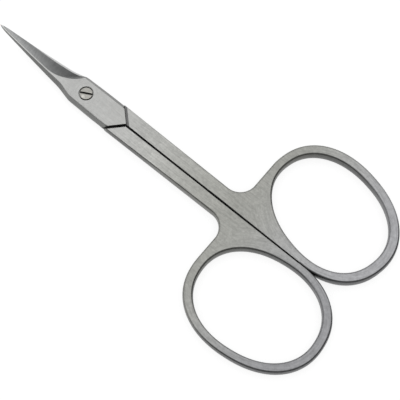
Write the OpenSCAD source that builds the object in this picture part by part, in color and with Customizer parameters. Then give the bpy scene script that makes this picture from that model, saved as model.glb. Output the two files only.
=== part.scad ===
// Cuticle scissors, closed and lying flat. The pivot axis is Z, the tips point
// to -X, the upper half's finger ring is on the +Y side, and Z = 0 is the
// plane that the scissors lie on. All sizes are in millimetres.

/* [Handles] */
// Thickness of the rings, and of the two joint plates together
handle_t = 2.7; // [2.4:0.1:3.4]
// Width of one shank at the joint, from the parting line to its outer side
shank_w = 3.25; // [2.8:0.05:3.8]
// How much narrower a shank is where its ring starts
shank_taper = 0.2; // [0:0.02:0.3]
// Gap between the two closed shanks at the rings
parting_gap = 0.2; // [0.1:0.02:0.4]
// How far the gap lies on the lower half's side of the axis at the rings
parting_shift = 0.11; // [0:0.01:0.15]
// How much the upper half's side draws back from there to the joint
upper_open = 0.2; // [0:0.02:0.3]
// How much the lower half's side draws back from there to the joint
lower_open = 0.09; // [0:0.01:0.2]
// Rounding of the outer edges of the shanks and rings
edge_r = 0.45; // [0.2:0.05:0.6]
// Bulge of the forged sides at half their height
side_draft = 0.08; // [0.02:0.02:0.16]
// How far the shank's face drops below the joint plate's
shank_drop = 0.16; // [0.05:0.01:0.3]
// Radius in the notch between shank and ring
notch_r = 3.7; // [1.5:0.1:4]

/* [Finger rings] */
// Distance from the pivot to the middle of the upper ring
ring_x = 53.8; // [50:0.05:60]
// Distance from the parting line to the middle of a ring
ring_y = 11.85; // [11:0.05:12.5]
// Length of a finger opening
hole_l = 25.85; // [22:0.05:28]
// Width of the upper ring's opening
hole_w = 19.5; // [17:0.1:20]
// How much wider the lower ring's opening is
lower_widen = 0.45; // [0:0.05:0.6]
// Wall of the ring at its ends
end_wall = 2.25; // [1.8:0.05:3]
// Wall of the ring at its sides
side_wall = 2; // [1.8:0.05:2.6]
// How much thinner the lower ring's wall is at its ends
lower_thin_end = 0.1; // [0:0.02:0.2]
// How much thinner the lower ring's wall is at its sides
lower_thin_side = 0.14; // [0:0.02:0.2]
// Slant of the upper ring towards the parting line at its far end
ring_slant = 11.8; // [0:0.2:14]
// Slant of the lower ring towards the parting line at its far end
lower_slant = 6.8; // [0:0.2:14]
// How much more the lower opening slants than its ring
lower_turn = 1; // [0:0.1:2]
// How much further from the pivot the lower ring sits
ring_lag = 0.7; // [0:0.05:1]
// How far the upper opening sits towards the joint in its ring
hole_shift = 0.16; // [0:0.02:0.3]
// Egg shape of the upper opening: how much it widens to its far end, as a share
hole_egg = 0.03; // [0:0.01:0.05]

/* [Joint] */
// Width of the joint plates at the parting plane
joint_w = 6.4; // [5.8:0.1:7]
// Width of a joint plate's flat outer face
joint_face_w = 4.9; // [4.4:0.1:5.6]
// Length of a joint plate behind the pivot, to the apex of its free end
joint_back = 10.35; // [9:0.05:13]
// Length of the slanted free end of a joint plate, along the shank
joint_slant = 3.05; // [2:0.05:4]
// How much further a plate reaches on its own shank's side
groove_lag = 0.38; // [0:0.02:1]
// Length of a plate's slanted end on its own shank's side
groove_slant = 3.37; // [2:0.01:4]
// Rounding of the joint plate's free corner
corner_r = 0.8; // [0.2:0.1:1.2]
// Gap between the upper joint plate's end and the lower half's shank
step_gap = 0.6; // [0.2:0.02:0.7]
// Gap between the lower joint plate's end and the upper half's shank
stop_gap = 0.05; // [0.03:0.01:0.3]
// Width of the groove between a joint plate and its own shank
groove_w = 0.6; // [0.3:0.05:0.8]
// Depth of the groove between a joint plate and its own shank
groove_t = 0.32; // [0.1:0.02:0.4]
// Gap between the two joint plates' faces
face_gap = 0.05; // [0.03:0.01:0.08]

/* [Blades] */
// Distance from the pivot to the tip
blade_l = 23.35; // [20:0.05:26]
// Distance from the pivot to the shoulders where the blades start
shoulder_x = 2.4; // [2.2:0.1:3]
// Half width that a blade's straight taper has at its shoulder
blade_w = 2.68; // [2.4:0.02:2.9]
// How much narrower a joint plate is on each side at the shoulders
plate_taper = 0.1; // [0:0.01:0.2]
// Half width of a blade near its tip
tip_w = 0.3; // [0.3:0.02:0.6]
// Thickness of one blade at its tip
tip_t = 0.38; // [0.3:0.02:0.6]
// Rise of the curved blades at the tip
tip_rise = 1.9; // [0:0.1:3]
// How far a cutting edge stays behind the other blade's back
edge_inset = 0.38; // [0.2:0.02:0.6]
// Thickness of a cutting edge
edge_t = 0.08; // [0.05:0.01:0.15]
// Depth of the hollow grinding, as a share of its width
hollow = 0.05; // [0.02:0.01:0.12]
// Gap between the inner faces of the two blades
blade_gap = 0.12; // [0.1:0.01:0.2]

/* [Pivot screw] */
// Diameter of the screw head
head_d = 2.7; // [2.4:0.02:3]
// Thickness of the screw head
head_t = 0.6; // [0.5:0.05:0.7]
// Gap round the screw head in its recess
head_gap = 0.16; // [0.08:0.01:0.2]
// Diameter of the smooth part that the upper half turns on
journal_d = 1.9; // [1.7:0.05:2]
// Diameter of the thread in the lower half
thread_d = 1.6; // [1.4:0.05:1.65]
// Radial running clearance of the journal
run_gap = 0.03; // [0.02:0.01:0.05]
// Width of the screwdriver slot
slot_w = 0.5; // [0.25:0.01:0.6]
// Depth of the screwdriver slot
slot_t = 0.34; // [0.2:0.01:0.4]
// Angle of the slot to the scissors' axis
slot_turn = 28; // [0:1:90]

/* [Hidden] */
steel = "#b9bab8";
screw_steel = "#c9c8c0";

// Height of the parting plane, and the thickness of one joint plate
mid = handle_t / 2;
plate_t = mid - face_gap / 2;
// Total inset of the outer edges' profile
edge_in = edge_r + side_draft;
// Height of the upright land at the parting plane on a joint plate's side
land = 0.25;
// Feet of the two slanted ends at the outer sides; the handles start there
slant_foot = joint_back - joint_slant;
groove_foot = joint_back + groove_lag - groove_slant;
// Width of the groove's steeper side, which the plate forms
groove_foot_w = groove_w / 4;
// Size of the small bevel along the parting line
part_bevel = 0.08;
// Each handle: [0] distance of its ring from the pivot, [1] the ring's slant,
// [2] and [3] its walls at the ends and sides, [4] width of its opening, [5] and
// [6] the opening's shift and further slant, [7] its egg shape, [8] how far the
// inner side stays off the axis at the rings, [9] how much more at the joint,
// [10] gap in front of its shank
upper_handle = [
    ring_x,
    ring_slant,
    end_wall,
    side_wall,
    hole_w,
    -hole_shift,
    0,
    hole_egg,
    parting_gap / 2 - parting_shift,
    upper_open,
    stop_gap
];
lower_handle = [
    ring_x + ring_lag,
    lower_slant,
    end_wall - lower_thin_end,
    side_wall - lower_thin_side,
    hole_w + lower_widen,
    0,
    lower_turn,
    0,
    parting_gap / 2 + parting_shift,
    lower_open,
    step_gap
];
// How far before the opening the shank's dropped face is back at the ring's level
rise_lead = 6;
rise_to = ring_x - hole_l / 2 - rise_lead;
// How far the pieces of one half run into each other
weld = 0.05;
// Margin by which a cutter passes what it cuts
over = 1;
// Squareness of the ring's ovals: 2 is an ellipse
oval_power = 2.2;
ring_steps = 48;
hole_steps = 60;
notch_steps = 6;
edge_steps = 3;

// Where the hollow grinding starts on the blade, and its extra ridge width
ridge_start = 10;
ridge_min = 0.18;
// How far a plate's flat face lies towards the blade's back
face_shift = 0.12;
// Share of the half width taken by the sloping back, on the plate and the blade
back_share_joint = 1 - (joint_face_w / 2 + face_shift) / (joint_w / 2);
back_share_blade = 0.33;
// Length over which the shoulder runs out into the blade, and over which its
// corner is rounded off on each side
shoulder_run = 4;
shoulder_soft = 0.9;
// Distance behind the pivot at which the plate starts to narrow
taper_run = 4.4;
// Length over which the point of the tip is rounded, and how little of its
// width is left at its end
tip_run = 1.7;
tip_end = 0.14;
// Lengths past the shoulder over which the edge's inset, the sloping back, the
// gap between the blades and the thin edge come in
inset_run = 1.8;
back_run = 3.6;
gap_run = 3;
thin_run = 2;
// Stretch of the blade over which the inset fades to what it is at the tip
fade_start = 9;
fade_run = 9;
tip_inset = 0.03;
// Distance from the pivot at which the blades start to curve
curve_start = 3;
hollow_steps = 5;

// Screw levels: thread end, journal foot, head's lower side
thread_end = 0;
head_sink = 0.03;
head_z = handle_t - head_t - head_sink;
recess_t = head_t + weld;
head_round = 0.2;

function clamp(v) = min(max(v, 0), 1);
function smooth(v) = let (c = clamp(v)) c * c * (3 - 2 * c);
function lerp(a, b, v) = a + (b - a) * v;
function spow(v, p) = sign(v) * pow(abs(v), p);

// Point at angle a on an oval of the given length and width
function oval_point(size, a, egg = 0) = [
    size[0] / 2 * spow(cos(a), 2 / oval_power),
    size[1] / 2 * spow(sin(a), 2 / oval_power) * (1 + egg * cos(a))
];

// Blade sizes at a distance u before the pivot
function along(u) = clamp((u - shoulder_x) / (blade_l - shoulder_x));
function tip_round(u) =
    sqrt(1 - (1 - pow(tip_end, 2)) * pow(clamp((u - blade_l + tip_run) / tip_run), 2));
function blade_line(u) = lerp(blade_w, tip_w, along(u));
function plate_line(u) =
    joint_w / 2 - plate_taper * smooth((u + taper_run) / (shoulder_x + taper_run));
function soften(v) = v < -shoulder_soft ? 0
    : v < shoulder_soft ? pow(v + shoulder_soft, 2) / (4 * shoulder_soft) : v;
function shoulder(u) = pow(1 - clamp(soften(u - shoulder_x) / shoulder_run), 2);
function half_w(u) = tip_round(u) * lerp(blade_line(u), plate_line(u), shoulder(u));
function inset(u) = tip_round(u) * smooth((u - shoulder_x) / inset_run)
    * lerp(edge_inset, tip_inset, smooth((u - fade_start) / fade_run));
function edge_y(u) = half_w(u) - inset(u);
function back_share(u) =
    lerp(back_share_joint, back_share_blade, smooth((u - shoulder_x) / back_run));
function back_y(u) = -half_w(u) * (1 - back_share(u));
function ridge_grow(u) = pow(clamp((ridge_start - u) / (ridge_start - shoulder_x)), 2);
function ridge_y(u) = lerp(back_y(u) + ridge_min * tip_round(u), joint_face_w / 2, ridge_grow(u));
function blade_t(u) = lerp(plate_t, tip_t, along(u));
function rise(u) = tip_rise * pow(clamp((u - curve_start) / (blade_l - curve_start)), 2);
function inner_gap(u) = lerp(face_gap, blade_gap, smooth((u - shoulder_x) / gap_run)) / 2;
function side_land(u) = lerp(land, edge_t, smooth((u - shoulder_x) / thin_run));

// Cross-section of plate and blade at u, from the back round the cutting edge
function section(u, bend) =
    let (
        base = mid + bend * rise(u) + inner_gap(u),
        top = mid + bend * rise(u) + blade_t(u) + face_gap / 2,
        foot = base + side_land(u),
        sag = hollow * (edge_y(u) - ridge_y(u)) * smooth(u - shoulder_x)
    )
    concat(
        [[-u, -half_w(u), base], [-u, edge_y(u), base]],
        [for (i = [0:hollow_steps])
            let (v = i / hollow_steps)
            [-u, lerp(edge_y(u), ridge_y(u), v), lerp(foot, top, v) - sag * 4 * v * (1 - v)]],
        [[-u, back_y(u), top], [-u, -half_w(u), foot]]
    );

// Stations from the tip back to the joint plate's apex, closer together over the
// stretch round the shoulders
near_run = shoulder_x + 6;
stations = concat(
    [for (i = [5:-1:1]) blade_l - tip_run * (1 - sin(18 * i))],
    [for (i = [10:-1:1]) lerp(near_run, blade_l - tip_run, i / 10)],
    [for (i = [32:-1:0]) lerp(-taper_run, near_run, i / 32)],
    [-joint_back - groove_lag - over]
);

// A skin through rings of points, closed at both ends
module loft(rings) {
    n = len(rings[0]);
    last = len(rings) - 1;
    sides = [for (r = [0:last - 1]) for (i = [0:n - 1])
        let (a = r * n + i, b = r * n + (i + 1) % n)
        each [[a, b + n, b], [a, a + n, b + n]]];
    ends = [[for (i = [0:n - 1]) i], concat([last * n], [for (i = [n - 1:-1:1]) last * n + i])];
    polyhedron(points = [for (r = rings) each r], faces = concat(sides, ends));
}

// How far back along the axis a slanted end goes when it moves back by gap
function set_back(gap, slant) = gap * norm([slant, joint_w / 2]) / (joint_w / 2);

// Blade and joint plate of one half, with the plate's slanted ends, which meet
// where the shank's inner side starts, at a distance from the axis. On its own
// shank's side the plate goes on under the groove.
module blade_and_plate(bend, inner) {
    half = joint_w / 2;
    turn = atan(half / joint_slant);
    inner_end = joint_back + groove_lag - groove_slant * inner / half;
    under = set_back(groove_foot_w, groove_slant);
    corner = [slant_foot - corner_r * tan(turn / 2), corner_r - half];
    round_end = [for (i = [0:4]) let (a = turn * i / 4 - 90)
        corner + corner_r * [cos(a), sin(a)]];
    intersection() {
        loft([for (u = stations) section(u, bend)]);
        translate([0, 0, -handle_t]) linear_extrude(3 * handle_t) polygon(concat(
            [[-blade_l - over, -2 * half]],
            [[corner[0], -2 * half]],
            round_end,
            [[joint_back, 0], [inner_end, inner], [inner_end + under, inner]],
            [[groove_foot + under, half]],
            [[groove_foot + under - groove_slant, 2 * half]],
            [[-blade_l - over, 2 * half]]
        ));
    }
}

// Turns a point clockwise by a slant and moves it to a ring at distance x
function on_ring(p, x, slant) = [
    x + p[0] * cos(slant) + p[1] * sin(slant),
    ring_y - p[0] * sin(slant) + p[1] * cos(slant)
];

// Outline of shank, web and ring, anticlockwise from the ring's lowest point,
// which sees all the others. The parting cut trims it later.
function handle_outline(grip) =
    let (
        size = [hole_l + 2 * grip[2], grip[4] + 2 * grip[3]],
        low = -90 + atan(size[0] / size[1] * tan(grip[1])),
        left = 180 + atan(size[1] / size[0] * tan(grip[1])),
        oval = [for (i = [0:ring_steps])
            on_ring(oval_point(size, lerp(low, left, i / ring_steps)), grip[0], grip[1])],
        web_x = oval[ring_steps][0],
        web_y = shank_w - shank_taper,
        notch = [for (i = [0:notch_steps]) let (a = 90 * i / notch_steps)
            [web_x - notch_r * (1 - cos(a)), web_y + notch_r * (1 - sin(a))]]
    )
    concat(oval, notch,
        [[groove_foot - over, shank_w], [groove_foot - over, -over], [oval[0][0], -over]]);

// A closed outline moved inwards by d, with mitred corners
function inward(pts, d) = [
    for (i = [0:len(pts) - 1])
        let (
            n = len(pts),
            before = pts[i] - pts[(i + n - 1) % n],
            after = pts[(i + 1) % n] - pts[i],
            n1 = [-before[1], before[0]] / norm(before),
            n2 = [-after[1], after[0]] / norm(after)
        )
        pts[i] + d * (n1 + n2) / (1 + n1 * n2)
];

// Edge profile of the forged handle: height and inset at each level
edge_profile = concat(
    [for (i = [0:edge_steps]) let (a = 90 * i / edge_steps)
        [edge_r * (1 - cos(a)), edge_in - edge_r * sin(a)]],
    [[mid, 0]],
    [for (i = [edge_steps:-1:0]) let (a = 90 * i / edge_steps)
        [handle_t - edge_r * (1 - cos(a)), edge_in - edge_r * sin(a)]]
);

function lift(pts, z) = [for (p = pts) [p[0], p[1], z]];

// Shank, web and ring with rounded edges, before the cuts
module handle_blank(grip) {
    outline = handle_outline(grip);
    loft([for (e = edge_profile) lift(inward(outline, e[1]), e[0])]);
}

// What the finger's opening takes out of the ring, with its rounded edges
module finger_hole(grip) {
    levels = concat([[-over, edge_in + over]], edge_profile, [[handle_t + over, edge_in + over]]);
    loft([for (e = levels)
        let (size = [hole_l + 2 * e[1], grip[4] + 2 * e[1]])
        lift([for (i = [0:hole_steps - 1])
            let (p = oval_point(size, 360 * i / hole_steps, grip[7]))
            on_ring(p, grip[0] + grip[5], grip[1] + grip[6])], e[0])]);
}

// Plan of everything in front of a slanted end, moved back by gap
module front_plan(back, slant, gap) {
    steep = joint_w / 2 / slant;
    apex = back + set_back(gap, slant);
    reach = joint_w;
    polygon([
        [-blade_l, -2 * reach],
        [apex, -2 * reach],
        [apex, 0],
        [apex - reach / steep, reach],
        [-blade_l, reach]
    ]);
}

// The side of the parting line that the other half takes
module parting_cut(side) {
    reach = ring_x + hole_l;
    low = -2 * shank_w;
    rotate([90, 0, 90]) linear_extrude(reach) polygon([
        [low, -over],
        [side + part_bevel + over, -over],
        [side, part_bevel],
        [side, handle_t - part_bevel],
        [side + part_bevel + over, handle_t + over],
        [low, handle_t + over]
    ]);
}

// Wedges that let the shank's faces drop towards the joint
module shank_drop_cut() {
    span = rise_to - groove_foot + over;
    for (side = [0, 1])
        translate([groove_foot - over, 0, mid]) mirror([0, 0, side])
            rotate([90, 0, 0]) translate([0, 0, -ring_y]) linear_extrude(2 * ring_y)
            polygon([[0, mid - shank_drop], [span, mid], [span, mid + over], [0, mid + over]]);
}

module handle(grip) {
    difference() {
        handle_blank(grip);
        finger_hole(grip);
        translate([ring_x, grip[8], 0])
            rotate(-atan(grip[9] / (ring_x - joint_back)))
            translate([-ring_x, -grip[8], 0]) parting_cut(grip[8]);
        shank_drop_cut();
        translate([0, 0, mid + face_gap / 2 + weld]) linear_extrude(handle_t)
            front_plan(joint_back + groove_lag, groove_slant, groove_foot_w - weld);
        translate([0, 0, -over]) linear_extrude(over + mid + face_gap / 2)
            front_plan(joint_back, joint_slant, grip[10]);
    }
}

// Groove along the slanted end, between the joint plate and its own shank
module groove() {
    length = norm([groove_slant, joint_w / 2]);
    translate([joint_back + groove_lag, 0, handle_t])
        rotate(90 + atan(groove_slant / (joint_w / 2))) rotate([90, 0, 90])
        translate([0, 0, -over]) linear_extrude(length + 2 * over)
        polygon([
            [0, over],
            [0, 0],
            [-groove_foot_w, -groove_t],
            [-groove_w, -shank_drop],
            [-groove_w, over]
        ]);
}

// One half as the upper one: blade on the -Y side, ring on the +Y side
module half(bend, grip) {
    difference() {
        union() {
            blade_and_plate(bend, grip[8] + grip[9]);
            handle(grip);
        }
        groove();
    }
}

module upper_half() {
    color(steel) difference() {
        half(1, upper_handle);
        cylinder(d = journal_d + 2 * run_gap, h = handle_t + over, $fn = 64);
        translate([0, 0, handle_t - recess_t])
            cylinder(d = head_d + 2 * head_gap, h = recess_t + over, $fn = 64);
    }
}

module lower_half() {
    color(steel) difference() {
        translate([0, 0, handle_t]) rotate([180, 0, 0]) half(-1, lower_handle);
        translate([0, 0, -over]) cylinder(d = thread_d, h = handle_t, $fn = 64);
    }
}

// Slotted screw: thread in the lower half, journal and head in the upper one
module pivot_screw() {
    shoulder_z = mid - face_gap / 2;
    head = head_d / 2;
    color(screw_steel) difference() {
        union() {
            translate([0, 0, thread_end]) cylinder(d = thread_d, h = handle_t - head_t, $fn = 64);
            translate([0, 0, shoulder_z])
                cylinder(d = journal_d, h = head_z - shoulder_z + weld, $fn = 64);
            translate([0, 0, head_z]) rotate_extrude($fn = 64) polygon([
                [0, 0],
                [head, 0],
                [head, head_t - head_round],
                [head - head_round, head_t],
                [0, head_t]
            ]);
        }
        rotate(slot_turn) translate([-head_d, -slot_w / 2, head_z + head_t - slot_t])
            cube([2 * head_d, slot_w, slot_t + over]);
    }
}

upper_half();
lower_half();
pivot_screw();
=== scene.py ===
import math
from collections import namedtuple

import bmesh
import bpy
import numpy as np
from mathutils import Matrix, Vector


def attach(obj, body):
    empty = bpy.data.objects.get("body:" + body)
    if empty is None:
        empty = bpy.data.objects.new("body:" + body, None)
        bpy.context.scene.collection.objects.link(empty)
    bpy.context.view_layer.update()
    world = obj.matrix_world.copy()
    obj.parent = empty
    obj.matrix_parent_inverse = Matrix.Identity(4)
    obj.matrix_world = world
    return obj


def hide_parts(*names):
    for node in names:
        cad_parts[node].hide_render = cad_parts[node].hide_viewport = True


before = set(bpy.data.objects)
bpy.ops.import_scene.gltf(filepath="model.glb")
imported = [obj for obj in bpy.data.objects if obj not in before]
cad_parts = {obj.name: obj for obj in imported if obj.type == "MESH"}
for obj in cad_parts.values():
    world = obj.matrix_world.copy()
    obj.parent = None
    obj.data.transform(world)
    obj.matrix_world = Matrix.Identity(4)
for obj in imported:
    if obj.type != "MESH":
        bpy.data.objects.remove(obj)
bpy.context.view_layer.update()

MM = 0.001

# Sizes in millimetres, as in the part's source. Angles are in degrees.
HANDLE_T, SHANK_W, SHANK_TAPER = 2.7, 3.25, 0.2
PARTING_GAP, PARTING_SHIFT, UPPER_OPEN, LOWER_OPEN = 0.2, 0.11, 0.2, 0.09
EDGE_R, SIDE_DRAFT, SHANK_DROP, NOTCH_R = 0.45, 0.08, 0.16, 3.7
RING_X, RING_Y, HOLE_L, HOLE_W, LOWER_WIDEN = 53.8, 11.85, 25.85, 19.5, 0.45
END_WALL, SIDE_WALL, LOWER_THIN_END, LOWER_THIN_SIDE = 2.25, 2.0, 0.1, 0.14
RING_SLANT, LOWER_SLANT, LOWER_TURN, RING_LAG = 11.8, 6.8, 1.0, 0.7
HOLE_SHIFT, HOLE_EGG = 0.16, 0.03
JOINT_W, JOINT_FACE_W, JOINT_BACK, JOINT_SLANT = 6.4, 4.9, 10.35, 3.05
GROOVE_LAG, GROOVE_SLANT, GROOVE_W, GROOVE_T = 0.38, 3.37, 0.6, 0.32
CORNER_R, STEP_GAP, STOP_GAP, FACE_GAP = 0.8, 0.6, 0.05, 0.05
BLADE_L, SHOULDER_X, BLADE_W, TIP_W, TIP_T = 23.35, 2.4, 2.68, 0.3, 0.38
PLATE_TAPER, TAPER_RUN, FACE_SHIFT, TIP_END = 0.1, 4.4, 0.12, 0.14
TIP_RISE, EDGE_INSET, EDGE_T, HOLLOW, BLADE_GAP = 1.9, 0.38, 0.08, 0.05, 0.12
HEAD_D, HEAD_T, HEAD_GAP, JOURNAL_D, THREAD_D = 2.7, 0.6, 0.16, 1.9, 1.6
RUN_GAP, SLOT_W, SLOT_T, SLOT_TURN = 0.03, 0.5, 0.34, 28

# Levels, the joint's corners, and the smaller parts of the groove and the parting side.
MID = HANDLE_T / 2
PLATE_T = MID - FACE_GAP / 2
EDGE_IN = EDGE_R + SIDE_DRAFT
SLANT_FOOT = JOINT_BACK - JOINT_SLANT
GROOVE_FOOT = JOINT_BACK + GROOVE_LAG - GROOVE_SLANT
GROOVE_FOOT_W = GROOVE_W / 4
GROOVE_FLOOR_END = 0.4 * GROOVE_W
PART_BEVEL, BEVEL_MID = 0.08, 0.3
RISE_LEAD = 6
RISE_TO = RING_X - HOLE_L / 2 - RISE_LEAD
WELD, OVER = 0.05, 1.0
OVAL_POWER = 2.2

# Each handle: place and slant of its ring, walls and width of its opening, shift,
# further slant and egg shape of the opening, how far its inner side stays off the
# axis at the rings, how much more at the joint, and the gap in front of its shank.
Grip = namedtuple("Grip", "x slant end_wall side_wall hole_w shift turn egg side more front")
UPPER = Grip(
    RING_X, RING_SLANT, END_WALL, SIDE_WALL, HOLE_W, -HOLE_SHIFT, 0, HOLE_EGG,
    PARTING_GAP / 2 - PARTING_SHIFT, UPPER_OPEN, STOP_GAP,
)
LOWER = Grip(
    RING_X + RING_LAG, LOWER_SLANT, END_WALL - LOWER_THIN_END, SIDE_WALL - LOWER_THIN_SIDE,
    HOLE_W + LOWER_WIDEN, 0, LOWER_TURN, 0, PARTING_GAP / 2 + PARTING_SHIFT, LOWER_OPEN, STEP_GAP,
)

# Form of the blade: where along it each change starts, and over how far it runs.
LAND = 0.25
RIDGE_START, RIDGE_MIN = 10, 0.18
BACK_JOINT, BACK_BLADE = 1 - (JOINT_FACE_W / 2 + FACE_SHIFT) / (JOINT_W / 2), 0.33
SHOULDER_RUN, SHOULDER_SOFT, TIP_RUN, CURVE_START = 4.0, 0.9, 1.7, 3
INSET_RUN, BACK_RUN, GAP_RUN, THIN_RUN = 1.8, 3.6, 3, 2
FADE_START, FADE_RUN, TIP_INSET = 9, 9, 0.03
NEAR_RUN = SHOULDER_X + 6

# Levels of the screw's head and its recess.
HEAD_SINK = 0.03
HEAD_Z = HANDLE_T - HEAD_T - HEAD_SINK
HEAD_TOP = HEAD_Z + HEAD_T
RECESS_T = HEAD_T + WELD

# Small curves that only the visible pieces have: corners of the blade and the joint
# plate, rim of the screw's recess, and edges and dome of the screw.
RIDGE_SOFT, BLADE_SOFT, PLATE_SOFT = 0.055, 0.09, 0.28
RIM_R, RIM_START = 0.06, 0.02
FOOT_BEVEL, HEAD_FOOT_BEVEL = 0.06, 0.05
HEAD_EDGE_R, HEAD_EDGE_T, DOME = 0.12, 0.16, 0.04

# How finely the visible pieces are divided.
TIP_STEP_DEG, BLADE_STEPS, PLATE_STEPS, HOLLOW_STEPS = 6, 44, 110, 14
CORNER_STEPS, PLATE_CORNER_STEPS, TURN_STEPS = 3, 5, 12
RING_STEPS, HOLE_STEPS, NOTCH_STEPS, SHANK_STEPS = 150, 180, 24, 23
EDGE_STEPS, SIDE_STEPS, OVAL_STEPS = 8, 3, 2000
DISC_STEPS, HEAD_STEPS = 128, 6
SHARP_DEG = 24


def clamp(v):
    return min(max(v, 0.0), 1.0)


def smooth(v):
    c = clamp(v)
    return c * c * (3 - 2 * c)


def lerp(a, b, v):
    return a + (b - a) * v


def spow(v, p):
    return math.copysign(abs(v) ** p, v)


# Materials

# The way, in the object's own frame, that the sides with painted shade face: towards
# the rings and a little to the lower half's side.
SHADE_WAY = (0.906, -0.424)

# Where a finish, painted shade or painted light starts and where it is full: along x, or out from
# the screw's axis.
ON_RING = (38.0, 46.0)
ON_PLATE = (8.0, 7.2)
SHANK_START, SHANK_END = (15.0, 24.0), (44.0, 34.0)
ROUGHER = (10.0, 14.0)
ROUND_SCREW = (4.6, 2.2)
RECESS_LIGHT_REACH = (1.62, 1.56)
HOLLOW_LIGHT_ALONG = (-4.0, -8.0)
GAP_SHADE_LIGHTER = (20.0, 44.0)
SLOT_DEEP = (HEAD_TOP - 0.07, HEAD_TOP - 0.14)
SLOT_SHADOW_SIDE = (-0.16, 0.08)
HIGHLIGHT_SPOT, HIGHLIGHT_SPOT_R = (-0.1, -0.85), (0.6, 0.1)

# The same for how upright a surface's direction is, from 1 on a level face to 0.
LEVEL = (0.9, 0.97)
SIDE, SHADED_SIDE, PLATE_SIDE = (0.85, 0.4), (0.9995, 0.965), (0.8, 0.55)
SHADED_ROUNDING = (0.5, 0.9)
STEEP_LIGHT = (0.98, 0.87)
HEAD_SIDE, SHADED_HEAD_SIDE = (0.97, 0.7), (0.998, 0.96)

# Greys: single ones, and curves along x for the faces. The side, rounding, gap, groove, slot and
# head rim greys are painted shade, the sides partly their duller finish too. A side or spot that
# is lighter, by painted light or less painted shade, has its grey raised by the given share.
SIDE_DULL_AND_SHADE_GREY, SHADED_SIDE_GREY, SHADED_ROUNDING_GREY, PLATE_SIDE_DULL_AND_SHADE_GREY = 0.18, 0.112, 0.079, 0.22
SHANK_LESS_SHADE, RECESS_PAINTED_LIGHT = 0.6, 1.6
GAP_SHADE_GREY, GAP_SHADE_RING_GREY, GROOVE_SHADE_GREY, MATING_GREY = 0.012, 0.05, 0.225, 0.52
HEAD_GREY, HEAD_RIM_SHADE_GREY, SLOT_FLOOR_GREY, SLOT_SHADOW_GREY, HIGHLIGHT_LIGHTER = 0.4, 0.04, 0.34, 0.015, 0.5
FACE_GREY = {
    "satin_upper": [
        (-25, 0.53), (-8, 0.53), (-3, 0.485), (4, 0.477), (9, 0.472), (12, 0.44), (20, 0.42),
        (28, 0.4), (33, 0.37), (40, 0.345), (46, 0.37), (55, 0.385), (70, 0.375),
    ],
    "satin_lower": [
        (-25, 0.53), (-8, 0.53), (-3, 0.485), (4, 0.477), (9, 0.477), (14, 0.472), (20, 0.452),
        (28, 0.4), (33, 0.37), (40, 0.35), (48, 0.36), (55, 0.34), (62, 0.315), (70, 0.312),
    ],
}
FACE_BLUE = [
    (-25, 0.975), (8, 0.975), (20, 0.955), (34, 0.935), (42, 0.94), (52, 0.99), (62, 1.025),
    (70, 1.03),
]
GROUND_GREY = [(-24, 0.5), (-18, 0.41), (-12, 0.3), (-8, 0.21), (-5, 0.155), (-2, 0.15)]
GROUND_FLAT_SHADE, GROUND_SLOPE_LIGHT = 0.68, 0.75

# Mean radius of a ring, for the grain that goes round it.
GRAIN_R = 11.0


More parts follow.
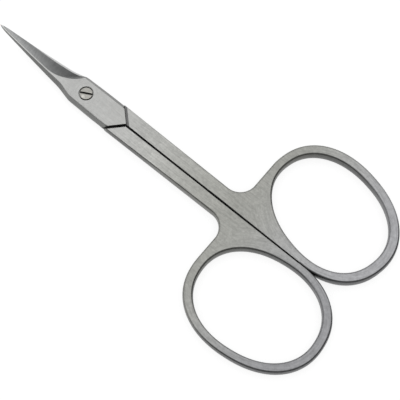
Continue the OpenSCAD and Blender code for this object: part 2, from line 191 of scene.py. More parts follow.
class Nodes:
    """Short ways to write a node tree."""

    def __init__(self, tree):
        self.tree = tree

    def node(self, kind, **settings):
        n = self.tree.nodes.new(kind)
        for k, v in settings.items():
            setattr(n, k, v)
        return n

    def link(self, a, b):
        if isinstance(a, bpy.types.NodeSocket):
            self.tree.links.new(a, b)
        else:
            b.default_value = a

    def m(self, how, *values):
        n = self.node("ShaderNodeMath", operation=how)
        for v, s in zip(values, n.inputs):
            self.link(v, s)
        return n.outputs[0]

    def mix(self, share, a, b):
        return self.m("MULTIPLY_ADD", self.m("SUBTRACT", b, a), share, a)

    def vary(self, value, by, amount):
        """value times 1 plus or minus up to half the amount, as by goes from 0 to 1."""
        return self.m("MULTIPLY", value, self.m("MULTIPLY_ADD", by, amount, 1 - amount / 2))

    def step(self, v, low, high):
        """0 at low and 1 at high, with a smooth change between."""
        n = self.node("ShaderNodeMapRange", interpolation_type="SMOOTHSTEP")
        self.link(v, n.inputs[0])
        n.inputs[1].default_value, n.inputs[2].default_value = min(low, high), max(low, high)
        return n.outputs[0] if low < high else self.m("SUBTRACT", 1.0, n.outputs[0])

    def curve(self, v, stops):
        """A smooth grey curve through (place, value) stops."""
        low, high = stops[0][0], stops[-1][0]
        top = max(y for _, y in stops) * 1.02
        n = self.node("ShaderNodeFloatCurve")
        c = n.mapping.curves[0]
        while len(c.points) < len(stops):
            c.points.new(0.5, 0.5)
        for p, (x, y) in zip(c.points, stops):
            p.location = ((x - low) / (high - low), y / top)
        n.mapping.update()
        r = self.node("ShaderNodeMapRange")
        self.link(v, r.inputs[0])
        r.inputs[1].default_value, r.inputs[2].default_value = low, high
        self.link(r.outputs[0], n.inputs[1])
        return self.m("MULTIPLY", n.outputs[0], top)

    def vec(self, x, y, z):
        n = self.node("ShaderNodeCombineXYZ")
        for v, s in zip((x, y, z), n.inputs):
            self.link(v, s)
        return n.outputs[0]

    def noise(self, x, y, z, scale, detail, rough):
        """Noise whose cells have about the given number to a millimetre each way."""
        at = self.vec(*[self.m("MULTIPLY", v, float(k)) for v, k in zip((x, y, z), scale)])
        n = self.node("ShaderNodeTexNoise")
        self.link(at, n.inputs["Vector"])
        n.inputs["Scale"].default_value = 1.0
        n.inputs["Detail"].default_value = detail
        n.inputs["Roughness"].default_value = rough
        return n.outputs["Fac"]

    def place(self):
        """x, y and z in the object's own frame, in millimetres."""
        t = self.node("ShaderNodeTexCoord")
        s = self.node("ShaderNodeSeparateXYZ")
        self.link(t.outputs["Object"], s.inputs[0])
        return [self.m("MULTIPLY", o, 1000.0) for o in s.outputs]

    def facing(self):
        """x, y and z of the surface's direction in the object's own frame."""
        t = self.node("ShaderNodeTexCoord")
        s = self.node("ShaderNodeSeparateXYZ")
        self.link(t.outputs["Normal"], s.inputs[0])
        return list(s.outputs)

    def leans(self, nx, ny):
        """How far a direction leans the way that the sides with painted shade face."""
        return self.m("MULTIPLY_ADD", nx, SHADE_WAY[0], self.m("MULTIPLY", ny, SHADE_WAY[1]))

    def length(self, x, y):
        return self.m("SQRT", self.m("MULTIPLY_ADD", x, x, self.m("MULTIPLY", y, y)))


def steel(name, roughness):
    mat = bpy.data.materials.new(name)
    mat.use_nodes = True
    shader = mat.node_tree.nodes["Principled BSDF"]
    shader.inputs["Metallic"].default_value = 1.0
    shader.inputs["Roughness"].default_value = roughness
    return mat, Nodes(mat.node_tree), shader


def paint(n, shader, grey, tint, height, depth_mm):
    """Colour from a grey and a tint, and relief from a height of 0 to 1."""
    n.link(n.vec(*[n.m("MULTIPLY", grey, t) for t in tint]), shader.inputs["Base Color"])
    bump = n.node("ShaderNodeBump")
    bump.inputs["Strength"].default_value = 1.0
    bump.inputs["Distance"].default_value = depth_mm * MM
    n.link(height, bump.inputs["Height"])
    n.link(bump.outputs[0], shader.inputs["Normal"])


SATIN, GROUND, MATING, INNER, GROOVED = 0, 1, 2, 3, 4


def satin(name, grip, side):
    """Satin ground faces, and sides that are duller as they come from the forge and darkened
    further by painted shade.
    """
    mat, n, shader = steel(name, 0.4)
    x, y, z = n.place()
    y = n.m("MULTIPLY", y, side)
    nx, ny, nz = n.facing()
    up = n.m("ABSOLUTE", nz)
    # the ring's own frame: share of the way out from its middle, and angle
    c, s = math.cos(math.radians(grip.slant)), math.sin(math.radians(grip.slant))
    dx, dy = n.m("SUBTRACT", x, grip.x), n.m("SUBTRACT", y, RING_Y)
    a = n.m("SUBTRACT", n.m("MULTIPLY", dx, c), n.m("MULTIPLY", dy, s))
    b = n.m("ADD", n.m("MULTIPLY", dx, s), n.m("MULTIPLY", dy, c))
    a, b = n.m("MULTIPLY", a, 2 / HOLE_L), n.m("MULTIPLY", b, 2 / grip.hole_w)
    out = n.m("MULTIPLY", n.length(a, b), GRAIN_R)
    turn = n.m("MULTIPLY", n.m("ARCTAN2", b, a), GRAIN_R)
    lengthwise = n.noise(x, y, z, (0.25, 3.5, 2.0), 3.0, 0.6)
    round_ring = n.noise(turn, out, z, (0.3, 4.0, 2.0), 3.0, 0.6)
    grain = n.mix(n.step(x, *ON_RING), lengthwise, round_ring)
    mottle = n.noise(x, y, z, (1.7, 1.7, 1.7), 4.0, 0.65)
    cloud = n.noise(x, y, z, (0.16, 0.22, 0.2), 1.0, 0.5)
    far = n.length(x, y)
    turned = n.noise(far, z, 0.0, (7.0, 0.5, 1.0), 1.0, 0.5)
    near_screw = n.m("MULTIPLY", n.step(far, *ROUND_SCREW), n.step(up, *LEVEL))
    grain = n.mix(n.m("MULTIPLY", near_screw, 0.6), grain, turned)
    # the upright sides are dull and darkened by painted shade, most of all those that face the
    # shaded way, and the screw's recess has painted light
    shaded_way = n.step(n.leans(nx, ny), 0.0, 0.3)
    wall = n.mix(shaded_way, n.step(up, *SIDE), n.step(up, *SHADED_SIDE))
    along_shank = n.m("MULTIPLY", n.step(x, *SHANK_START), n.step(x, *SHANK_END))
    less_shade = n.m("MULTIPLY_ADD", along_shank, SHANK_LESS_SHADE, 1.0)
    # painted shade: darker greys for the sides that face the shaded way, deepest on their
    # roundings, less along the shank
    shade_grey = n.mix(n.step(up, *SHADED_ROUNDING), SHADED_SIDE_GREY, SHADED_ROUNDING_GREY)
    wall_shade_grey = n.mix(shaded_way, SIDE_DULL_AND_SHADE_GREY, n.m("MULTIPLY", shade_grey, less_shade))
    # the plate's sides get their own grey, partly a duller finish and partly painted shade
    on_plate, plate_wall = n.step(x, *ON_PLATE), n.step(up, *PLATE_SIDE)
    wall = n.mix(on_plate, wall, plate_wall)
    wall_shade_grey = n.mix(on_plate, wall_shade_grey, PLATE_SIDE_DULL_AND_SHADE_GREY)
    grey = n.mix(wall, n.curve(x, FACE_GREY[name]), wall_shade_grey)
    # painted light on the walls of the screw's recess
    recess = n.m("MULTIPLY", n.step(far, *RECESS_LIGHT_REACH), plate_wall)
    grey = n.m("MULTIPLY", grey, n.m("MULTIPLY_ADD", recess, RECESS_PAINTED_LIGHT, 1.0))
    rougher = n.m("ADD", n.step(x, *ROUGHER), 1.0)
    grain = n.m("MULTIPLY_ADD", n.m("SUBTRACT", grain, 0.5), rougher, 0.5)
    mottle = n.m("MULTIPLY_ADD", n.m("SUBTRACT", mottle, 0.5), rougher, 0.5)
    grey = n.vary(n.vary(n.vary(grey, grain, 0.35), mottle, 0.35), cloud, 0.12)
    tint = (0.995, 1.0, n.curve(x, FACE_BLUE))
    paint(n, shader, grey, tint, n.mix(0.5, grain, mottle), 0.004)
    return mat


def gap_shade_wall(name):
    """Painted shade: near-black sides between the two halves, a little lighter towards the rings.
    """
    mat, n, shader = steel(name, 0.75)
    shader.inputs["Metallic"].default_value = 0.0
    shader.inputs["Specular IOR Level"].default_value = 0.25
    x, y, z = n.place()
    # noise that varies the painted shade and gives these sides a fine relief
    scale = n.noise(x, y, z, (1.5, 1.5, 1.5), 4.0, 0.65)
    grey = n.vary(n.mix(n.step(x, *GAP_SHADE_LIGHTER), GAP_SHADE_GREY, GAP_SHADE_RING_GREY), scale, 0.9)
    paint(n, shader, grey, (1.0, 1.0, 0.96), scale, 0.006)
    return mat


def grooved(name):
    """Groove between a joint plate and its own shank, a little rougher than the faces and darker
    by painted shade in the crease.
    """
    mat, n, shader = steel(name, 0.45)
    x, y, z = n.place()
    marks = n.noise(x, y, z, (1.5, 1.5, 3.0), 3.0, 0.65)
    # painted shade in the groove
    grey = n.vary(GROOVE_SHADE_GREY, marks, 0.4)
    paint(n, shader, grey, (1.0, 1.0, 0.99), marks, 0.005)
    return mat


def ground(name):
    """Hollow-ground face of a blade, with grinding lines across it: darker towards the
    joint, and away from it painted light where it slopes up to the ridge and painted shade where
    it lies flat."""
    mat, n, shader = steel(name, 0.38)
    x, y, z = n.place()
    lines = n.noise(n.m("MULTIPLY_ADD", y, 0.25, x), y, z, (5.0, 0.5, 0.5), 2.0, 0.6)
    mottle = n.noise(x, y, z, (1.6, 1.6, 1.6), 3.0, 0.6)
    up = n.m("ABSOLUTE", n.facing()[2])
    # painted light on the steeper slopes of the hollow, painted shade on its flatter parts
    slope_light = n.m("MULTIPLY_ADD", n.step(up, *STEEP_LIGHT), GROUND_SLOPE_LIGHT, GROUND_FLAT_SHADE)
    grey = n.curve(x, GROUND_GREY)
    grey = n.m("MULTIPLY", grey, n.mix(n.step(x, *HOLLOW_LIGHT_ALONG), 1.0, slope_light))
    grey = n.vary(n.vary(grey, lines, 0.55), mottle, 0.25)
    paint(n, shader, grey, (0.985, 1.0, 1.0), lines, 0.006)
    return mat


def mating(name):
    """Flat inner faces that slide on each other: finely ground across, with a few rub marks."""
    mat, n, shader = steel(name, 0.3)
    x, y, z = n.place()
    lines = n.noise(x, y, z, (6.0, 0.4, 0.4), 2.0, 0.6)
    rub = n.noise(n.length(x, y), n.m("ARCTAN2", y, x), 0.0, (5.0, 0.8, 1.0), 2.0, 0.5)
    grey = n.vary(n.vary(MATING_GREY, lines, 0.16), rub, 0.12)
    paint(n, shader, grey, (1.0, 1.0, 1.0), lines, 0.003)
    return mat


def half_finishes(which, grip, side):
    return [
        satin("satin_" + which, grip, side),
        ground("ground_" + which),
        mating("mating_" + which),
        gap_shade_wall("inner_" + which),
        grooved("grooved_" + which),
    ]


def screw_finish():
    """Turned screw, slightly warmer than the halves, worn unevenly, with painted shadow in its
    slot, painted shade on its rim and a painted highlight.
    """
    mat, n, shader = steel("turned_steel", 0.33)
    x, y, z = n.place()
    far = n.length(x, y)
    nx, ny, nz = n.facing()
    up = n.m("ABSOLUTE", nz)
    turned = n.noise(far, z, 0.0, (9.0, 3.0, 1.0), 1.0, 0.5)
    wear = n.noise(x, y, z, (1.1, 1.1, 1.1), 2.0, 0.5)
    # painted shadow along one side deep in the slot, and a lighter floor grey along the other
    t = math.radians(SLOT_TURN)
    across = n.m("MULTIPLY_ADD", x, -math.sin(t), n.m("MULTIPLY", y, math.cos(t)))
    slot_grey = n.mix(n.step(across, *SLOT_SHADOW_SIDE), SLOT_FLOOR_GREY, SLOT_SHADOW_GREY)
    grey = n.mix(n.step(z, *SLOT_DEEP), HEAD_GREY, slot_grey)
    # a painted highlight spot, and a rim of painted shade that is wider on the side facing the
    # shaded way
    # painted highlight on the head
    off = [n.m("SUBTRACT", v, c) for v, c in zip((x, y), HIGHLIGHT_SPOT)]
    spot = n.step(n.length(*off), *HIGHLIGHT_SPOT_R)
    grey = n.m("MULTIPLY", grey, n.m("MULTIPLY_ADD", spot, HIGHLIGHT_LIGHTER, 1.0))
    # painted shade on the head's rim, most on the side facing the shaded way
    shaded_way = n.step(n.leans(nx, ny), 0.0, 0.25)
    rim = n.mix(shaded_way, n.step(up, *HEAD_SIDE), n.step(up, *SHADED_HEAD_SIDE))
    grey = n.mix(rim, grey, HEAD_RIM_SHADE_GREY)
    grey = n.vary(n.vary(grey, turned, 0.25), wear, 0.9)
    paint(n, shader, grey, (1.015, 1.0, 0.93), turned, 0.006)
    return mat


# Mesh helpers
def mesh_object(name, points, faces):
    mesh = bpy.data.meshes.new(name)
    mesh.from_pydata([tuple(c * MM for c in p) for p in points], [], faces)
    mesh.validate()
    for mat in finishes:
        mesh.materials.append(mat)
    obj = bpy.data.objects.new(name, mesh)
    bpy.context.scene.collection.objects.link(obj)
    return obj


def loft(name, rings, finish=None):
    """A closed skin through rings of points, with one flat face at each end.
    finish gives the material's number for the strip after ring k and point i."""
    n = len(rings[0])
    points = [p for r in rings for p in r]
    faces = []
    for k in range(len(rings) - 1):
        for i in range(n):
            a, b = k * n + i, k * n + (i + 1) % n
            faces.append((a, b, b + n, a + n))
    faces.append(tuple(reversed(range(n))))
    faces.append(tuple(range((len(rings) - 1) * n, len(rings) * n)))
    obj = mesh_object(name, points, faces)
    if finish:
        for p in obj.data.polygons:
            if p.index < (len(rings) - 1) * n:
                p.material_index = finish(p.index // n, p.index % n)
    face_outwards(obj)
    return obj


def face_outwards(obj):
    bm = bmesh.new()
    bm.from_mesh(obj.data)
    bmesh.ops.recalc_face_normals(bm, faces=bm.faces)
    bm.to_mesh(obj.data)
    bm.free()


def inner_sides(k, i):
    return INNER


def groove_sides(k, i):
    return GROOVED


def prism(name, outline, low, high, finish=None):
    return loft(name, [[(x, y, z) for x, y in outline] for z in (low, high)], finish)


def disc(radius):
    angles = [2 * math.pi * i / DISC_STEPS for i in range(DISC_STEPS)]
    return [(radius * math.cos(a), radius * math.sin(a)) for a in angles]


def combine(target, tool, how):
    """Applies one exact boolean and removes the tool."""
    modifier = target.modifiers.new("cut", "BOOLEAN")
    modifier.operation, modifier.object, modifier.solver = how, tool, "EXACT"
    bpy.context.view_layer.update()
    made = bpy.data.meshes.new_from_object(
        target.evaluated_get(bpy.context.evaluated_depsgraph_get())
    )
    target.modifiers.clear()
    old, target.data = target.data, made
    bpy.data.meshes.remove(old)
    bpy.data.objects.remove(tool)


def turn_over(obj):
    """Half a turn about the X axis through the parting plane."""
    obj.data.transform(
        Matrix.Translation((0, 0, HANDLE_T * MM)) @ Matrix.Rotation(math.pi, 4, "X")
    )


# Blade and joint plate
def along(u):
    return clamp((u - SHOULDER_X) / (BLADE_L - SHOULDER_X))


def tip_round(u):
    return math.sqrt(1 - (1 - TIP_END**2) * clamp((u - BLADE_L + TIP_RUN) / TIP_RUN) ** 2)


def soften(v):
    if v < -SHOULDER_SOFT:
        return 0.0
    return (v + SHOULDER_SOFT) ** 2 / (4 * SHOULDER_SOFT) if v < SHOULDER_SOFT else v


def half_w(u):
    blade = lerp(BLADE_W, TIP_W, along(u))
    plate = JOINT_W / 2 - PLATE_TAPER * smooth((u + TAPER_RUN) / (SHOULDER_X + TAPER_RUN))
    shoulder = (1 - clamp(soften(u - SHOULDER_X) / SHOULDER_RUN)) ** 2
    return tip_round(u) * lerp(blade, plate, shoulder)


def edge_y(u):
    share = lerp(EDGE_INSET, TIP_INSET, smooth((u - FADE_START) / FADE_RUN))
    return half_w(u) - tip_round(u) * smooth((u - SHOULDER_X) / INSET_RUN) * share


def back_y(u):
    return -half_w(u) * (1 - lerp(BACK_JOINT, BACK_BLADE, smooth((u - SHOULDER_X) / BACK_RUN)))


def ridge_y(u):
    grow = clamp((RIDGE_START - u) / (RIDGE_START - SHOULDER_X)) ** 2
    return lerp(back_y(u) + RIDGE_MIN * tip_round(u), JOINT_FACE_W / 2, grow)


def rounded(p, before, after, r, steps=CORNER_STEPS):
    """A corner of a section, replaced by a short curve of about radius r."""
    p, before, after = Vector(p), Vector(before), Vector(after)
    a, b = before - p, after - p
    t = min(r, 0.4 * a.length, 0.4 * b.length)
    a, b = p + a.normalized() * t, p + b.normalized() * t
    return [
        tuple(a * (1 - v) ** 2 + p * 2 * v * (1 - v) + b * v * v)
        for v in (i / steps for i in range(steps + 1))
    ]


def section(u, bend):
    rise = bend * TIP_RISE * clamp((u - CURVE_START) / (BLADE_L - CURVE_START)) ** 2
    gap = lerp(FACE_GAP, BLADE_GAP, smooth((u - SHOULDER_X) / GAP_RUN)) / 2
    base = MID + rise + gap
    top = MID + rise + lerp(PLATE_T, TIP_T, along(u)) + FACE_GAP / 2
    foot = base + lerp(LAND, EDGE_T, smooth((u - SHOULDER_X) / THIN_RUN))
    e, r, w, b = edge_y(u), ridge_y(u), half_w(u), back_y(u)
    sag = HOLLOW * (e - r) * smooth(u - SHOULDER_X)
    ground = [
        (lerp(e, r, v), lerp(foot, top, v) - sag * 4 * v * (1 - v))
        for v in (i / HOLLOW_STEPS for i in range(HOLLOW_STEPS + 1))
    ]
    pts = [(-w, base), (e, base)] + ground[:-1]
    corner = lerp(PLATE_SOFT, BLADE_SOFT, smooth((u + 1) / (SHOULDER_X + 1)))
    pts += rounded((r, top), ground[-2], (b, top), RIDGE_SOFT)
    pts += rounded((b, top), (r, top), (-w, foot), corner, PLATE_CORNER_STEPS)
    pts += rounded((-w, foot), (b, top), (-w, base), BLADE_SOFT)
    return [(-u, y, z) for y, z in pts]


def set_back(gap, slant):
    """How far back along the axis a slanted end goes when it moves back by gap."""
    return gap * math.hypot(slant, JOINT_W / 2) / (JOINT_W / 2)


def blade_and_plate(name, bend, inner):
    """Blade and joint plate; the plate's two slanted ends meet where the shank's
    inner side starts, at the given distance from the axis."""
    us = [
        BLADE_L - TIP_RUN * (1 - math.sin(math.radians(a)))
        for a in range(90 - TIP_STEP_DEG // 2, 0, -TIP_STEP_DEG)
    ]
    us += list(np.linspace(BLADE_L - TIP_RUN, NEAR_RUN, BLADE_STEPS))
    us += list(np.linspace(NEAR_RUN - 0.1, -TAPER_RUN, PLATE_STEPS))
    us += [-JOINT_BACK - GROOVE_LAG - OVER]

    def finish(k, i):
        if i == 0:
            return MATING
        on_blade = us[k + 1] > SHOULDER_X - WELD
        return GROUND if i <= HOLLOW_STEPS + 1 and on_blade else SATIN

    body = loft(name, [section(u, bend) for u in us], finish)
    half = JOINT_W / 2
    turn = math.atan(half / JOINT_SLANT)
    cx, cy = SLANT_FOOT - CORNER_R * math.tan(turn / 2), CORNER_R - half
    outline = [(-BLADE_L - OVER, -2 * half), (cx, -2 * half)]
    for i in range(TURN_STEPS + 1):
        a = turn * i / TURN_STEPS - math.pi / 2
        outline.append((cx + CORNER_R * math.cos(a), cy + CORNER_R * math.sin(a)))
    inner_end = JOINT_BACK + GROOVE_LAG - GROOVE_SLANT * inner / half
    under = set_back(GROOVE_FOOT_W, GROOVE_SLANT)
    outline += [(JOINT_BACK, 0), (inner_end, inner), (inner_end + under, inner)]
    outline += [(GROOVE_FOOT + under, half), (GROOVE_FOOT + under - GROOVE_SLANT, 2 * half)]
    outline.append((-BLADE_L - OVER, 2 * half))
    combine(body, prism("plan", outline, -HANDLE_T, 2 * HANDLE_T, inner_sides), "INTERSECT")
    return body


# Handles
def oval_point(size, a, egg):
    c, s = math.cos(a), math.sin(a)
    x, y = size[0] / 2 * spow(c, 2 / OVAL_POWER), size[1] / 2 * spow(s, 2 / OVAL_POWER)
    return (x, y * (1 + egg * c))


def on_ring(p, x, slant):
    c, s = math.cos(math.radians(slant)), math.sin(math.radians(slant))
    return (x + p[0] * c + p[1] * s, RING_Y - p[0] * s + p[1] * c)


def spaced(size, a0, a1, steps, egg=0.0):
    """Points on an oval between two angles, evenly spaced along it."""
    fine = [oval_point(size, lerp(a0, a1, i / OVAL_STEPS), egg) for i in range(OVAL_STEPS + 1)]
    run = np.r_[0, np.cumsum(np.hypot(*np.diff(np.array(fine), axis=0).T))]
    at = np.linspace(0, run[-1], steps + 1)
    xs, ys = [np.interp(at, run, [p[k] for p in fine]) for k in (0, 1)]
    return [(float(x), float(y)) for x, y in zip(xs, ys)]


def handle_outline(grip):
    size = (HOLE_L + 2 * grip.end_wall, grip.hole_w + 2 * grip.side_wall)
    slope = math.tan(math.radians(grip.slant))
    low = -math.pi / 2 + math.atan(size[0] / size[1] * slope)
    left = math.pi + math.atan(size[1] / size[0] * slope)
    oval = [on_ring(p, grip.x, grip.slant) for p in spaced(size, low, left, RING_STEPS)]
    web_x, web_y = oval[-1][0], SHANK_W - SHANK_TAPER
    notch = []
    for i in range(1, NOTCH_STEPS + 1):
        a = math.radians(90 * i / NOTCH_STEPS)
        notch.append((web_x - NOTCH_R * (1 - math.cos(a)), web_y + NOTCH_R * (1 - math.sin(a))))
    (x0, y0), x1, y1 = notch[-1], GROOVE_FOOT - OVER, SHANK_W
    shares = [i / SHANK_STEPS for i in range(1, SHANK_STEPS + 1)]
    shank = [(lerp(x0, x1, v), lerp(y0, y1, v)) for v in shares]
    return oval + notch + shank + [(GROOVE_FOOT - OVER, -OVER), (oval[0][0], -OVER)]


def inward(points, d):
    """A closed outline moved inwards by d, with mitred corners."""
    p = np.array(points, float)
    before, after = p - np.roll(p, 1, 0), np.roll(p, -1, 0) - p

    def normal(v):
        return np.c_[-v[:, 1], v[:, 0]] / np.linalg.norm(v, axis=1)[:, None]

    n1, n2 = normal(before), normal(after)
    moved = p + d * (n1 + n2) / (1 + (n1 * n2).sum(1))[:, None]
    return [tuple(q) for q in moved]


def edge_profile():
    """Height and inset at each level of the forged handle."""
    foot = []
    for i in range(EDGE_STEPS + 1):
        a = math.radians(90 * i / EDGE_STEPS)
        foot.append((EDGE_R * (1 - math.cos(a)), EDGE_IN - EDGE_R * math.sin(a)))
    for i in range(1, SIDE_STEPS + 1):
        v = 1 - i / SIDE_STEPS
        foot.append((lerp(MID, EDGE_R, v), SIDE_DRAFT * v * v))
    return foot + [(HANDLE_T - z, e) for z, e in reversed(foot[:-1])]


def finger_hole(grip):
    wide = EDGE_IN + OVER
    levels = [(-OVER, wide)] + edge_profile() + [(HANDLE_T + OVER, wide)]
    rings = []
    for z, e in levels:
        size = (HOLE_L + 2 * e, grip.hole_w + 2 * e)
        oval = spaced(size, 0, 2 * math.pi, HOLE_STEPS, grip.egg)[:-1]
        x, slant = grip.x + grip.shift, grip.slant + grip.turn
        rings.append([(*on_ring(p, x, slant), z) for p in oval])
    return loft("hole", rings)


def front_plan(back, slant, gap):
    """Plan of everything in front of a slanted end, moved back by gap."""
    reach = JOINT_W
    rake = JOINT_W / 2 / slant
    apex = back + set_back(gap, slant)
    return [
        (-BLADE_L, -2 * reach),
        (apex, -2 * reach),
        (apex, 0),
        (apex - reach / rake, reach),
        (-BLADE_L, reach),
    ]


def parting(grip):
    """What the other half takes, beyond a bevelled flat that runs along the axis."""
    low, reach, b, side = -2 * SHANK_W, RING_X + HOLE_L, PART_BEVEL, grip.side
    mid_b = b * BEVEL_MID
    cut = [(low, -OVER), (side + b + OVER, -OVER), (side + b, 0)]
    cut += [(side + mid_b, mid_b), (side, b)]
    cut += [(y, HANDLE_T - z) for y, z in reversed(cut)]
    tool = loft("parting", [[(x, y, z) for y, z in cut] for x in (0, reach)], inner_sides)
    about = Vector((RING_X, side, 0)) * MM
    turn = Matrix.Rotation(-math.atan(grip.more / (RING_X - JOINT_BACK)), 4, "Z")
    tool.data.transform(Matrix.Translation(about) @ turn @ Matrix.Translation(-about))
    return tool


def handle(name, grip):
    outline = handle_outline(grip)
    body = loft(name, [[(x, y, z) for x, y in inward(outline, e)] for z, e in edge_profile()])
    combine(body, finger_hole(grip), "DIFFERENCE")
    combine(body, parting(grip), "DIFFERENCE")
    start, end = GROOVE_FOOT - OVER, RISE_TO
    for sign in (-1, 1):
        wedge = [(start, MID - SHANK_DROP), (end, MID), (end, MID + OVER), (start, MID + OVER)]
        rings = [[(x, y, MID + sign * z) for x, z in wedge] for y in (-RING_Y, RING_Y)]
        combine(body, loft("drop", rings), "DIFFERENCE")
    front = front_plan(JOINT_BACK + GROOVE_LAG, GROOVE_SLANT, GROOVE_FOOT_W - WELD)
    combine(body, prism("front", front, MID + FACE_GAP / 2 + WELD, HANDLE_T + OVER), "DIFFERENCE")
    step = front_plan(JOINT_BACK, JOINT_SLANT, grip.front)
    combine(body, prism("step", step, -OVER, MID + FACE_GAP / 2, inner_sides), "DIFFERENCE")
    return body


def groove():
    """Cutter along the slanted end, between the joint plate and its own shank."""
    length = math.hypot(GROOVE_SLANT, JOINT_W / 2)
    cut = [(0, OVER), (0, 0.0), (-GROOVE_FOOT_W, -GROOVE_T), (-GROOVE_FLOOR_END, -GROOVE_T)]
    cut += [(-GROOVE_W, -SHANK_DROP), (-GROOVE_W, OVER)]
    rings = [[(x, y, z) for y, z in cut] for x in (-OVER, length + OVER)]
    tool = loft("groove", rings, groove_sides)
    turn = Matrix.Rotation(math.pi / 2 + math.atan(GROOVE_SLANT / (JOINT_W / 2)), 4, "Z")
    at = Vector((JOINT_BACK + GROOVE_LAG, 0, HANDLE_T)) * MM
    tool.data.transform(Matrix.Translation(at) @ turn)
    return tool


def half(name, bend, grip):
    body = handle(name, grip)
    combine(body, blade_and_plate("blade", bend, grip.side + grip.more), "UNION")
    combine(body, groove(), "DIFFERENCE")
    return body


def upper_half():
    body = half("upper_half_steel", 1, UPPER)
    bore = disc(JOURNAL_D / 2 + RUN_GAP)
    combine(body, prism("bore", bore, MID - OVER, HANDLE_T + OVER), "DIFFERENCE")
    recess = HEAD_D / 2 + HEAD_GAP
    rings = []
    for z, r in (
        (HANDLE_T - RECESS_T, recess),
        (HANDLE_T - RIM_R, recess),
        (HANDLE_T - RIM_START, recess + RIM_START),
        (HANDLE_T + RIM_START, recess + RIM_R),
        (HANDLE_T + OVER, recess + RIM_R),
    ):
        rings.append([(x, y, z) for x, y in disc(r)])
    combine(body, loft("recess", rings), "DIFFERENCE")
    return body


def lower_half():
    body = half("lower_half_steel", -1, LOWER)
    turn_over(body)
    combine(body, prism("thread", disc(THREAD_D / 2), -OVER, HANDLE_T - OVER / 2), "DIFFERENCE")
    return body


def pivot_screw():
    """Thread end, journal and slotted head, turned about the pivot axis."""
    head, seat = HEAD_D / 2, MID - FACE_GAP / 2
    profile = [(0.0, 0.0), (THREAD_D / 2 - FOOT_BEVEL, 0.0), (THREAD_D / 2, FOOT_BEVEL)]
    profile += [(THREAD_D / 2, seat), (JOURNAL_D / 2, seat), (JOURNAL_D / 2, HEAD_Z)]
    profile += [(head - HEAD_FOOT_BEVEL, HEAD_Z), (head, HEAD_Z + HEAD_FOOT_BEVEL)]
    edge_z = HEAD_TOP - HEAD_EDGE_T
    profile.append((head, edge_z))
    for i in range(1, HEAD_STEPS + 1):
        a = math.radians(90 * i / HEAD_STEPS)
        r = head - HEAD_EDGE_R * (1 - math.cos(a))
        profile.append((r, edge_z + HEAD_EDGE_R * math.sin(a)))
    for i in range(1, HEAD_STEPS + 1):
        v = 1 - i / HEAD_STEPS
        profile.append(((head - HEAD_EDGE_R) * v, HEAD_TOP - DOME * v * v))
    points = [(0, 0, profile[0][1]), (0, 0, profile[-1][1])]
    ring_at = []
    for r, z in profile[1:-1]:
        ring_at.append(len(points))
        points += [(x, y, z) for x, y in disc(r)]
    faces = []
    for i in range(DISC_STEPS):
        j = (i + 1) % DISC_STEPS
        faces.append((0, ring_at[0] + j, ring_at[0] + i))
        faces.append((1, ring_at[-1] + i, ring_at[-1] + j))
        for a, b in zip(ring_at, ring_at[1:]):
            faces.append((a + i, a + j, b + j, b + i))
    screw = mesh_object("pivot_screw_steel", points, faces)
    face_outwards(screw)
    t = math.radians(SLOT_TURN)
    slot = []
    for along_slot, across in ((-1, -1), (1, -1), (1, 1), (-1, 1)):
        x, y = along_slot * HEAD_D, across * SLOT_W / 2
        slot.append((x * math.cos(t) - y * math.sin(t), x * math.sin(t) + y * math.cos(t)))
    combine(screw, prism("slot", slot, HEAD_TOP - SLOT_T, HANDLE_T + OVER), "DIFFERENCE")
    return screw


def finish_shading(obj):
    obj.data.set_sharp_from_angle(angle=math.radians(SHARP_DEG))
    for p in obj.data.polygons:
        p.use_smooth = True
    modifier = obj.modifiers.new("even_shading", "WEIGHTED_NORMAL")
    modifier.keep_sharp = True
    modifier.weight = 50


# Pieces
finishes = half_finishes("upper", UPPER, 1.0)
upper = upper_half()
finishes = half_finishes("lower", LOWER, -1.0)
lower = lower_half()
finishes = [screw_finish()]
screw = pivot_screw()
for obj, body, node, finish in (
    (upper, "upper", "upper_half", "satin_steel"),
    (lower, "lower", "lower_half", "satin_steel"),
    (screw, "lower", "pivot_screw", "screw_steel"),
):
    finish_shading(obj)
    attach(obj, body)
    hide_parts(node)

# Camera

# The picture's own plane: X right, Y up and Z towards the viewer, in
# millimetres at 5 pixels each, with its origin at the picture's middle.
PX_PER_MM = 5.0
HALF_PICTURE = 200.0
SENSOR_MM = 36
CAM_TILT, CAM_TURN, CAM_PX = 17.638, 89.307, 1343.51
PIVOT_PX = (86.068, 93.322)
FAR_PX = (307.364, 268.549)
CLIP_M = (0.01, 5)


def picture_camera():
    th, ph = math.radians(CAM_TILT), math.radians(CAM_TURN)
    back = Vector((math.sin(th) * math.cos(ph), -math.sin(th) * math.sin(ph), math.cos(th)))
    place = back * CAM_PX / PX_PER_MM
    right = (-back).cross(Vector((0, 1, 0))).normalized()
    up = right.cross(-back)

    def on_plane(px, z):
        ray = -back * CAM_PX + right * (px[0] - HALF_PICTURE) - up * (px[1] - HALF_PICTURE)
        return place + ray * ((z - place.z) / ray.z)

    pivot = on_plane(PIVOT_PX, HANDLE_T)
    along_x = on_plane(FAR_PX, HANDLE_T) - pivot
    along_x.z = 0
    along_x.normalize()
    along_y = Vector((-along_x.y, along_x.x, 0))

    def to_part(v):
        return Vector((v.dot(along_x), v.dot(along_y), v.z))

    spot = place - Vector((pivot.x, pivot.y, 0))
    turn = Matrix((to_part(right), to_part(up), to_part(back))).transposed()
    return to_part(spot) * MM, turn


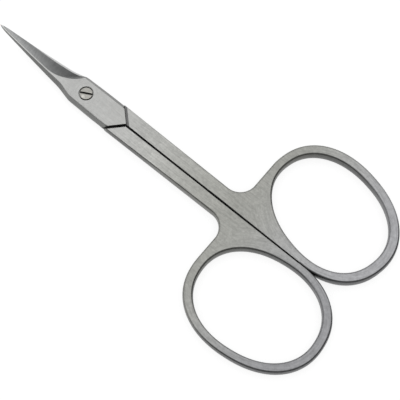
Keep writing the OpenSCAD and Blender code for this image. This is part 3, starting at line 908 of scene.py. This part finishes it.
cam = bpy.data.cameras.new("camera")
cam_obj = bpy.data.objects.new("camera", cam)
bpy.context.scene.collection.objects.link(cam_obj)
spot, turn = picture_camera()
cam_obj.matrix_world = Matrix.Translation(spot) @ turn.to_4x4()
cam.sensor_width = SENSOR_MM
cam.lens = SENSOR_MM * CAM_PX / (2 * HALF_PICTURE)
cam.clip_start, cam.clip_end = CLIP_M
bpy.context.scene.camera = cam_obj

# Floor and light

# The floor is plain grey to the light, and nearly white to the camera and in
# reflections, where it keeps the shadow.
FLOOR_REACH, FLOOR_Z = 3000, -0.02
FLOOR_GREY, SHOWN_GREY, SHOWN_GLOW = 0.8, 0.3, 0.8
finishes = []
corners = ((-1, -1), (1, -1), (1, 1), (-1, 1))
floor_points = [(x * FLOOR_REACH, y * FLOOR_REACH, FLOOR_Z) for x, y in corners]
floor = mesh_object("floor", floor_points, [(0, 1, 2, 3)])
floor_mat = bpy.data.materials.new("white_floor")
floor_mat.use_nodes = True
floor_mat.node_tree.nodes.clear()
n = Nodes(floor_mat.node_tree)
seen = n.node("ShaderNodeLightPath").outputs
shown = n.m("MAXIMUM", seen["Is Glossy Ray"], seen["Is Transmission Ray"])
shown = n.m("MAXIMUM", seen["Is Camera Ray"], shown)
plain = n.node("ShaderNodeBsdfDiffuse")
plain.inputs["Color"].default_value = (FLOOR_GREY, FLOOR_GREY, FLOOR_GREY, 1)
pale = n.node("ShaderNodeBsdfDiffuse")
pale.inputs["Color"].default_value = (SHOWN_GREY, SHOWN_GREY, SHOWN_GREY, 1)
glow = n.node("ShaderNodeEmission")
glow.inputs["Strength"].default_value = SHOWN_GLOW
both = n.node("ShaderNodeAddShader")
n.link(pale.outputs[0], both.inputs[0])
n.link(glow.outputs[0], both.inputs[1])
pick = n.node("ShaderNodeMixShader")
n.link(shown, pick.inputs[0])
n.link(plain.outputs[0], pick.inputs[1])
n.link(both.outputs[0], pick.inputs[2])
n.link(pick.outputs[0], n.node("ShaderNodeOutputMaterial").inputs[0])
floor.data.materials.append(floor_mat)

# A large soft light overhead, which fades to a dimmer room at the horizon, more so
# on the camera's side than behind the scissors. Stops: height and strength.
NEAR_SKY = [(-1, 0.2), (0.0, 0.2), (0.25, 0.24), (0.5, 0.5), (0.75, 1.0), (1.0, 1.13)]
FAR_SKY = [(-1, 0.2), (0.0, 0.3), (0.25, 0.4), (0.5, 0.7), (0.75, 1.03), (1.0, 1.13)]
BEHIND = (-0.62, 0.784)
world = bpy.data.worlds.new("studio")
bpy.context.scene.world = world
world.use_nodes = True
world.node_tree.nodes.clear()
n = Nodes(world.node_tree)
split = n.node("ShaderNodeSeparateXYZ")
n.link(n.node("ShaderNodeTexCoord").outputs["Generated"], split.inputs[0])
aside, ahead, height = split.outputs
behind = n.m("MULTIPLY_ADD", aside, BEHIND[0], n.m("MULTIPLY", ahead, BEHIND[1]))
sky = n.mix(n.step(behind, -0.3, 0.3), n.curve(height, NEAR_SKY), n.curve(height, FAR_SKY))
back = n.node("ShaderNodeBackground")
n.link(n.vec(sky, sky, sky), back.inputs["Color"])
n.link(back.outputs[0], n.node("ShaderNodeOutputWorld").inputs[0])

bpy.context.scene.view_settings.view_transform = "Standard"
